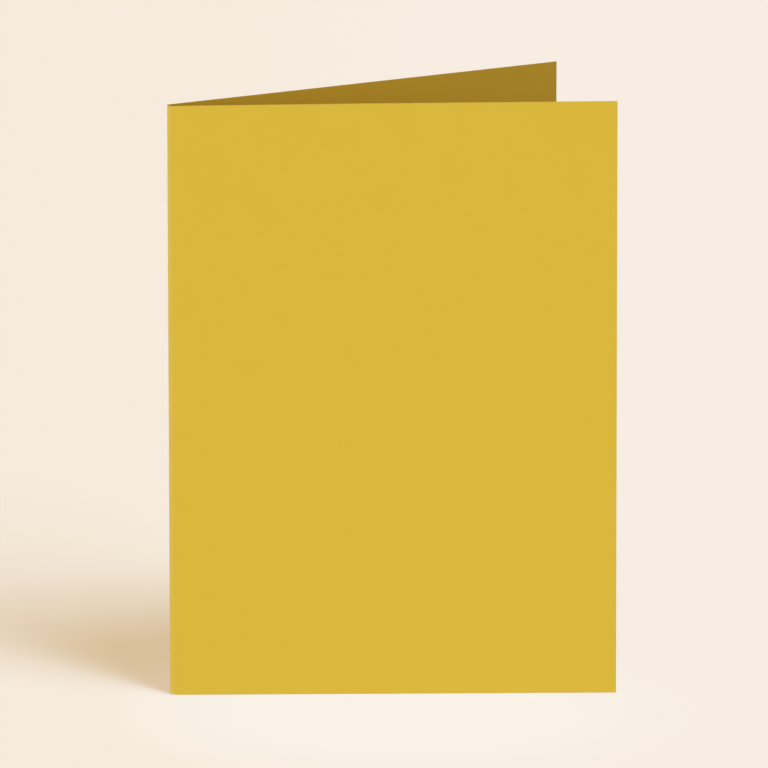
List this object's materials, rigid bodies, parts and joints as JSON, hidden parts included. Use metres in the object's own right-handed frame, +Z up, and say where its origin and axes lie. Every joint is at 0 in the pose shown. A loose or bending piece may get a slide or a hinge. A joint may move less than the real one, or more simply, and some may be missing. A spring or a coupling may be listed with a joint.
{
  "type": "greeting card",
  "caption": "Plain upright greeting card: a sheet of heavy mustard card creased down the middle, standing on its lower edge with its covers part open.",
  "frame": {"origin": "middle of the ground that the standing card covers, at the height of its lower edge", "axes": "+Z up along the fold; the front cover faces -Y; +X runs along the front cover's foot from the fold to its free edge; the back cover turns away towards +Y"},
  "size_m": [0.1274, 0.0622, 0.1715],
  "materials": {
    "card_stock": "matte"
  },
  "bodies": {
    "root": {"folded_card": "card_stock"}
  },
  "joints": []
}
